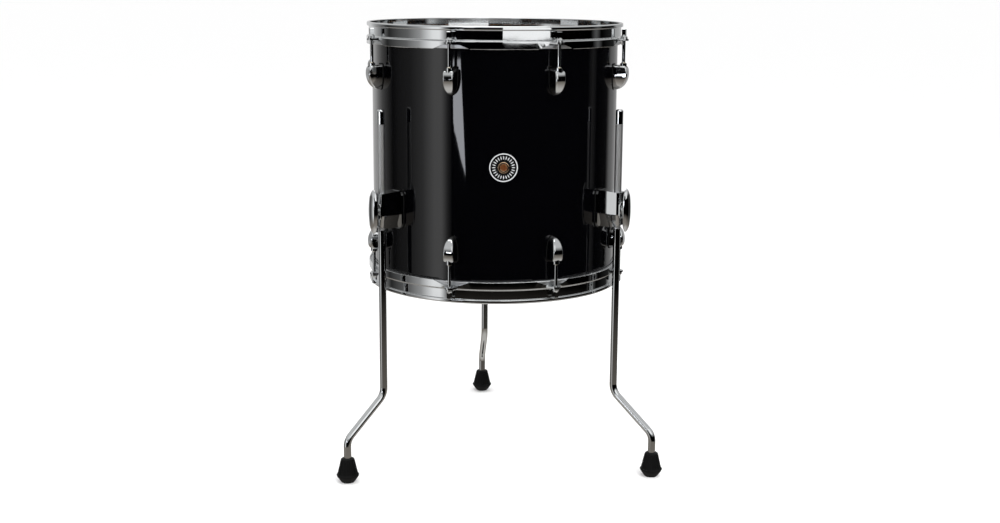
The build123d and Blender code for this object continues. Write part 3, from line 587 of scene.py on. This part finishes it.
def reflected_card(name, corners, place, hex_code, brightness):
    """A glowing card that the drum reflects and the camera doesn't see."""
    card_mesh = bpy.data.meshes.new(name)
    card_mesh.from_pydata(corners, [], [range(len(corners))])
    card = bpy.data.objects.new(name, card_mesh)
    bpy.context.scene.collection.objects.link(card)
    card.matrix_world = place
    material, tree = begin_material(f"{name}_glow")
    glow = node(tree, "ShaderNodeEmission", None, {"Color": linear(hex_code), "Strength": brightness})
    node(tree, "ShaderNodeOutputMaterial", None, {"Surface": glow.outputs["Emission"]})
    card.data.materials.append(material)
    card.visible_camera = False
    return card


def studio_surround(stage):
    """The room: metal and lacquer reflect its walls, ceiling and floor, and all else sees the backdrop."""
    world = bpy.data.worlds.new("studio")
    world.use_nodes = True
    tree = world.node_tree
    tree.nodes.clear()
    direction = node(tree, "ShaderNodeTexCoord").outputs["Generated"]
    turned = node(tree, "ShaderNodeVectorRotate", {"rotation_type": "Z_AXIS"}, {
        "Vector": direction, "Angle": stage.camera_turn,
    }).outputs["Vector"]
    axes = node(tree, "ShaderNodeSeparateXYZ", None, {"Vector": turned}).outputs
    toward = node(tree, "ShaderNodeMath", {"operation": "MULTIPLY"}, {0: axes["Y"], 1: -1.0}).outputs[0]
    azimuth = node(tree, "ShaderNodeMath", {"operation": "ARCTAN2"}, {0: axes["X"], 1: toward}).outputs[0]
    share_round = node(tree, "ShaderNodeMapRange", None, {
        "Value": azimuth, "From Min": -math.pi, "From Max": math.pi,
    }).outputs["Result"]

    walls = node(tree, "ShaderNodeValToRGB", None, {"Fac": share_round})
    stops = walls.color_ramp.elements
    brightest = max(light for _, light in WALLS)
    while len(stops) < len(WALLS):
        stops.new(0.5)
    for stop, (degrees, light) in zip(stops, WALLS):
        stop.position = (degrees + 180) / 360
        stop.color = (*(light / brightest,) * 3, 1)
    wall_light = node(tree, "ShaderNodeMath", {"operation": "MULTIPLY"}, {
        0: walls.outputs["Color"], 1: brightest,
    }).outputs[0]

    shares = []
    for start, full in ((CEILING_FROM, CEILING_FULL), (GLOW_FROM, GLOW_FULL), (GROUND_FROM, GROUND_FULL)):
        shares.append(node(tree, "ShaderNodeMapRange", None, {
            "Value": axes["Z"], "From Min": start, "From Max": full,
        }).outputs["Result"])
    ceiling_share, glow_share, ground_share = shares
    light = node(tree, "ShaderNodeMix", None, {
        SHARE: ceiling_share, NUMBER_A: wall_light, NUMBER_B: CEILING,
    }).outputs[NUMBER_OUT]
    white = node(tree, "ShaderNodeCombineXYZ", None, {"X": light, "Y": light, "Z": light}).outputs[0]
    ground = node(tree, "ShaderNodeMix", COLOURS, {
        SHARE: glow_share, COLOUR_A: linear(FLOOR_GLOW_NEAR), COLOUR_B: linear(FLOOR_GLOW_UNDER),
    }).outputs[COLOUR_OUT]
    around = node(tree, "ShaderNodeMix", COLOURS, {
        SHARE: ground_share, COLOUR_A: white, COLOUR_B: ground,
    }).outputs[COLOUR_OUT]

    reflected = node(tree, "ShaderNodeBackground", None, {"Color": around, "Strength": 1.0})
    backdrop = node(tree, "ShaderNodeBackground", None, {
        "Color": stage.backdrop, "Strength": BACKDROP_STRENGTH,
    })
    ray = node(tree, "ShaderNodeLightPath").outputs
    either = node(tree, "ShaderNodeMixShader", None, {
        0: ray["Is Glossy Ray"], 1: backdrop.outputs["Background"], 2: reflected.outputs["Background"],
    })
    node(tree, "ShaderNodeOutputWorld", None, {"Surface": either.outputs["Shader"]})
    return world


def dress(names, material):
    """Gives CAD nodes a material."""
    for name in names:
        mesh = frame["nodes"][name].data
        if not mesh.materials:
            mesh.materials.append(material)
        for index in range(len(mesh.materials)):
            mesh.materials[index] = material


def each_side(*stems):
    """The names of like pieces on every side."""
    return [f"{stem}_{side}" for stem in stems for side in SIDES]


# ---- small sizes of the modelled pieces ------------------------------------------------
LOOKS_BACK = -0.93  # a face whose normal's x is less than this looks at the shell
WING_TO_HUB = 0.94  # half the wing's width over the hub's radius
WING_EDGE = 1.0 * MM  # flat edge round the dish in the wing's back
HUB_INTO_WING = 0.5 * MM
HUB_WALL = 0.45  # share of the hub's radius
HUB_BORE_DEPTH = 1.2 * MM
HUB_EDGE = 0.35 * MM
SOCKET_CLEARANCE = 0.1 * MM  # between a foot's socket and its leg
SOCKET_DEPTH = 4 * MM
FOOT_EDGE = 0.3 * MM


# ---- operators -----------------------------------------------------------------------
class FLOORTOM_OT_shell(bpy.types.Operator):
    """Finishes the shell and its badge and air vent"""

    bl_idname = "floortom.shell"
    bl_label = "Shell, Badge and Vent"

    def execute(self, context):
        finish = context.scene.floor_tom_finishes
        dress(["shell"], lacquered_maple(finish))
        badge_front = AXIS.y - badge_low.y
        dress(["badge"], enamelled_badge(finish, badge_front - BADGE_FIELD_DEPTH))
        dress(["vent_grommet"], plated_small_parts("polished_pale_brass", finish.brass, 0.1, 0.2))
        return {"FINISHED"}


class FLOORTOM_OT_heads(bpy.types.Operator):
    """Finishes the two heads and their flesh hoops"""

    bl_idname = "floortom.heads"
    bl_label = "Heads"

    def execute(self, context):
        finish = context.scene.floor_tom_finishes
        dress(["batter_head", "resonant_head"], clear_film(finish))
        dress(["batter_flesh_hoop", "resonant_flesh_hoop"], rolled_aluminium(finish))
        return {"FINISHED"}


class FLOORTOM_OT_hardware(bpy.types.Operator):
    """Finishes the hoops, lugs, tension rods, brackets and their small parts"""

    bl_idname = "floortom.hardware"
    bl_label = "Chromed Hardware"

    def execute(self, context):
        finish = context.scene.floor_tom_finishes
        steel = chrome_plate("bright_chrome_on_pressed_steel", finish.chrome, 0.03 * MM, 30 * MM, 0.06)
        dress(["top_hoop", "bottom_hoop", "tension_washers_top", "tension_washers_bottom"], steel)
        dress(each_side("clamp_saddle", "eye_bolt"), steel)
        dress([name for name in frame["nodes"] if name.startswith("tension_rod_")], steel)
        cast = chrome_plate("bright_chrome_on_die_cast_zinc", finish.chrome, 0.05 * MM, 9 * MM, 0.08)
        dress(["lugs_top", "lugs_bottom", *each_side("bracket")], cast)
        nickel = plated_small_parts("nickel_plated_brass", finish.nickel, 0.18, 0.3)
        dress(["swivel_nuts_top", "swivel_nuts_bottom"], nickel)
        zinc = plated_small_parts("zinc_plated_steel", finish.zinc, 0.25, 0.42)
        dress(["lug_screws", "lug_screw_washers", "bracket_screws", "bracket_screw_washers"], zinc)
        dress(["lug_gaskets_top", "lug_gaskets_bottom", *each_side("bracket_gasket")], moulded_rubber(finish))
        return {"FINISHED"}


class FLOORTOM_OT_legs(bpy.types.Operator):
    """Finishes the legs, with the knurling that the brackets clamp"""

    bl_idname = "floortom.legs"
    bl_label = "Legs"

    def execute(self, context):
        finish = context.scene.floor_tom_finishes
        for side in SIDES:
            centre = side_matrix(side) @ Vector((LEG_CIRCLE, 0, 0))
            name = f"knurled_chromed_steel_{side}"
            material = knurled_chrome(name, finish.chrome, centre, bracket_low.z, leg_high.z - BRIGHT_TIP)
            dress([f"leg_{side}"], material)
        return {"FINISHED"}


class FLOORTOM_OT_wing_nuts(bpy.types.Operator):
    """Models the cast wing nuts and puts one on each bracket"""

    bl_idname = "floortom.wing_nuts"
    bl_label = "Wing Nuts"

    def execute(self, context):
        sizes = context.scene.floor_tom_wing_nut
        hub_r = (wing_high.x - wing_low.x) / 2
        depth = wing_high.y - wing_low.y
        half_width, half_length = WING_TO_HUB * hub_r, (wing_high.z - wing_low.z) / 2
        front = (depth - sizes.relief) * (1 - sizes.back_share)
        back = (depth - sizes.relief) * sizes.back_share

        # The wing is a block rounded to an oval, flatter behind its rim and dished at the back.
        deselect()
        bpy.ops.mesh.primitive_cube_add(size=2, location=(0, 0, 0))
        wing = begin("wing")
        bpy.ops.mesh.select_all(action="SELECT")
        bpy.ops.mesh.subdivide(number_cuts=sizes.cuts)
        bpy.ops.transform.tosphere(value=sizes.roundness)
        bpy.ops.transform.resize(value=(front, half_width, half_length), center_override=(0, 0, 0))
        pick(wing, lambda face: face.calc_center_median().x < -0.02 * front)
        bpy.ops.transform.resize(value=(back / front, 1, 1), center_override=(0, 0, 0))
        pick(wing, lambda face: face.normal.x < LOOKS_BACK)
        bpy.ops.mesh.inset(thickness=WING_EDGE, depth=-sizes.hollow)
        end(wing, bevel=0, levels=2, smooth_angle=40)
        wing.data.transform(Matrix.Translation((sizes.relief + back, 0, 0)))

        # The hub reaches from the saddle into the wing, and its bore shows at the saddle's end.
        hub_length = sizes.relief + back + HUB_INTO_WING
        deselect()
        bpy.ops.mesh.primitive_cylinder_add(
            vertices=48, radius=hub_r, depth=hub_length,
            location=(hub_length / 2, 0, 0), rotation=(0, math.pi / 2, 0),
        )
        bpy.ops.object.transform_apply(location=True, rotation=True, scale=True)
        hub = begin("hub")
        pick(hub, lambda face: face.normal.x < LOOKS_BACK)
        bpy.ops.mesh.inset(thickness=hub_r * HUB_WALL)
        bpy.ops.mesh.extrude_region_move(TRANSFORM_OT_translate={"value": (HUB_BORE_DEPTH, 0, 0)})
        end(hub, bevel=HUB_EDGE, levels=0, smooth_angle=40)

        master = join([wing, hub], "wing_nut")
        material = frame["nodes"]["lugs_top"].data.materials[0]
        seat = Matrix.Translation((wing_low.y - AXIS.y, 0, (wing_low.z + wing_high.z) / 2))
        for side in SIDES:
            copy = placed_copy(master, f"wing_nut_{side}_cast", side_matrix(side) @ seat)
            copy.data.materials.append(material)
            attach(copy, f"wing_nut_{side}")
            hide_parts(f"wing_nut_{side}")
        bpy.data.objects.remove(master)
        return {"FINISHED"}


class FLOORTOM_OT_feet(bpy.types.Operator):
    """Models the ribbed rubber feet and puts one on each leg"""

    bl_idname = "floortom.feet"
    bl_label = "Rubber Feet"

    def execute(self, context):
        sizes = context.scene.floor_tom_foot
        height = foot_high.z - foot_low.z
        collar_r = (foot_high.x - foot_low.x) / 2
        cone_r = collar_r - sizes.collar_proud
        cone_low = sizes.collar_height + 1.3 * sizes.collar_thickness
        cone_high = height - 3.5 * MM
        # The foot's outline from its base up, as heights and radii.
        rings = (
            (sizes.base_round, sizes.base_radius + sizes.base_round),
            (sizes.collar_height - sizes.collar_thickness / 2, collar_r - 0.4 * MM),
            (sizes.collar_height + sizes.collar_thickness / 2, collar_r),
            (cone_low, cone_r),
            (cone_high, sizes.top_radius + 0.8 * MM),
            (height - 1.2 * MM, sizes.top_radius),
            (height, sizes.top_radius - 1.6 * MM),
        )

        deselect()
        segments = 4 * sizes.ribs
        bpy.ops.mesh.primitive_circle_add(
            vertices=segments, radius=sizes.base_radius, fill_type="NGON", location=(0, 0, 0)
        )
        foot = begin("foot")
        bpy.ops.mesh.select_all(action="SELECT")
        level, radius = 0.0, sizes.base_radius
        for ring_level, ring_radius in rings:
            bpy.ops.mesh.extrude_region_move(TRANSFORM_OT_translate={"value": (0, 0, ring_level - level)})
            grow = ring_radius / radius
            bpy.ops.transform.resize(value=(grow, grow, 1), center_override=(0, 0, ring_level))
            level, radius = ring_level, ring_radius
        bpy.ops.mesh.inset(thickness=radius - LEG_R - SOCKET_CLEARANCE)
        bpy.ops.mesh.extrude_region_move(TRANSFORM_OT_translate={"value": (0, 0, -SOCKET_DEPTH)})

        def on_rib(face):
            """True for two segments in every four of the cone's outside."""
            middle = face.calc_center_median()
            index = int(math.degrees(math.atan2(middle.y, middle.x)) % 360 / (360 / segments))
            outside = math.hypot(middle.x, middle.y) > LEG_R * 1.2
            return cone_low < middle.z < cone_high and index % 4 < 2 and outside

        pick(foot, on_rib)
        bpy.ops.mesh.extrude_region_shrink_fatten(TRANSFORM_OT_shrink_fatten={"value": -sizes.rib_height})
        end(foot, bevel=FOOT_EDGE, levels=1, smooth_angle=35)

        material = frame["nodes"]["lug_gaskets_top"].data.materials[0]
        seat = Matrix.Translation((FOOT_CIRCLE, 0, 0))
        for side in SIDES:
            copy = placed_copy(foot, f"rubber_foot_{side}_ribbed", side_matrix(side) @ seat)
            copy.data.materials.append(material)
            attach(copy, f"leg_{side}")
            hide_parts(f"rubber_foot_{side}")
        bpy.data.objects.remove(foot)
        return {"FINISHED"}


class FLOORTOM_OT_stage(bpy.types.Operator):
    """Sets the camera, the pale floor and the soft studio lights"""

    bl_idname = "floortom.stage"
    bl_label = "Stage"

    def execute(self, context):
        stage = context.scene.floor_tom_stage
        round_drum = Matrix.Translation(AXIS) @ Matrix.Rotation(-stage.camera_turn, 4, "Z")
        camera_data = bpy.data.cameras.new("camera")
        camera_data.lens, camera_data.sensor_width = stage.camera_lens, SENSOR_WIDTH
        camera = bpy.data.objects.new("camera", camera_data)
        context.scene.collection.objects.link(camera)
        context.scene.camera = camera
        camera.matrix_world = (
            round_drum
            @ Matrix.Translation((0, -stage.camera_distance, stage.camera_height))
            @ Matrix.Rotation(-stage.camera_yaw, 4, "Z")
            @ Matrix.Rotation(math.pi / 2 - stage.camera_pitch, 4, "X")
            @ Matrix.Rotation(stage.camera_roll, 4, "Z")
        )

        deselect()
        bpy.ops.mesh.primitive_plane_add(size=FLOOR_SIZE, location=(0, 0, 0))
        floor = bpy.context.object
        floor.name = floor.data.name = "floor"
        floor.data.materials.append(studio_paint(stage))
        floor.visible_glossy = False

        for name, (azimuth, distance, low, high, width, brightness) in SOFTBOXES.items():
            light_data = bpy.data.lights.new(name, "AREA")
            light_data.shape = "RECTANGLE"
            light_data.size, light_data.size_y = width, high - low
            light_data.energy = brightness * math.pi * width * (high - low)
            light = bpy.data.objects.new(name, light_data)
            context.scene.collection.objects.link(light)
            facing = round_drum @ Matrix.Rotation(math.radians(azimuth), 4, "Z")
            light.matrix_world = (
                facing
                @ Matrix.Translation((0, -distance, (low + high) / 2))
                @ Matrix.Rotation(math.pi / 2, 4, "X")
            )
            light.visible_camera = light.visible_glossy = False
            side, back = width / 2, -distance - PANE_BEHIND_LIGHT
            corners = ((-side, back, low), (side, back, low), (side, back, high), (-side, back, high))
            pane = reflected_card(f"{name}_pane", corners, facing, "FFFFFF", SOFTBOX_REFLECTION)
            pane.visible_diffuse = False
        overhead_data = bpy.data.lights.new("overhead", "AREA")
        overhead_data.shape, overhead_data.size = "DISK", OVERHEAD_WIDTH
        overhead_data.energy = OVERHEAD_POWER
        overhead = bpy.data.objects.new("overhead", overhead_data)
        context.scene.collection.objects.link(overhead)
        overhead.location = AXIS + Vector((0, 0, OVERHEAD_HEIGHT))
        overhead.visible_camera = False

        corners = []
        for degrees, height in WINDOW_CORNERS:
            turn = math.radians(degrees)
            corners.append((WINDOW_DISTANCE * math.sin(turn), -WINDOW_DISTANCE * math.cos(turn), height))
        reflected_card("window_card", corners, round_drum, "F4F7FF", WINDOW_REFLECTION)

        context.scene.world = studio_surround(stage)
        context.scene.view_settings.view_transform = "Standard"
        return {"FINISHED"}


class FLOORTOM_PT_panel(bpy.types.Panel):
    """Lists the steps that finish the drum"""

    bl_idname = "FLOORTOM_PT_panel"
    bl_label = "Floor Tom"
    bl_space_type = "VIEW_3D"
    bl_region_type = "UI"
    bl_category = "Floor Tom"

    def draw(self, context):
        for step in STEPS:
            self.layout.operator(step.bl_idname, text=step.bl_label)
        for name, group in GROUPS.items():
            box = self.layout.box()
            for prop in group.__annotations__:
                box.prop(getattr(context.scene, name), prop)


STEPS = (
    FLOORTOM_OT_stage,
    FLOORTOM_OT_shell,
    FLOORTOM_OT_heads,
    FLOORTOM_OT_hardware,
    FLOORTOM_OT_legs,
    FLOORTOM_OT_wing_nuts,
    FLOORTOM_OT_feet,
)


def register():
    """Registers the add-on's classes and properties."""
    for name, group in GROUPS.items():
        bpy.utils.register_class(group)
        setattr(bpy.types.Scene, name, PointerProperty(type=group))
    for step in (*STEPS, FLOORTOM_PT_panel):
        bpy.utils.register_class(step)


def unregister():
    """Removes them again."""
    for step in reversed((*STEPS, FLOORTOM_PT_panel)):
        bpy.utils.unregister_class(step)
    for name, group in reversed(GROUPS.items()):
        delattr(bpy.types.Scene, name)
        bpy.utils.unregister_class(group)


def main():
    """Runs every step in order."""
    register()
    bpy.ops.floortom.stage()
    bpy.ops.floortom.shell()
    bpy.ops.floortom.heads()
    bpy.ops.floortom.hardware()
    bpy.ops.floortom.legs()
    bpy.ops.floortom.wing_nuts()
    bpy.ops.floortom.feet()


if __name__ == "__main__":
    main()
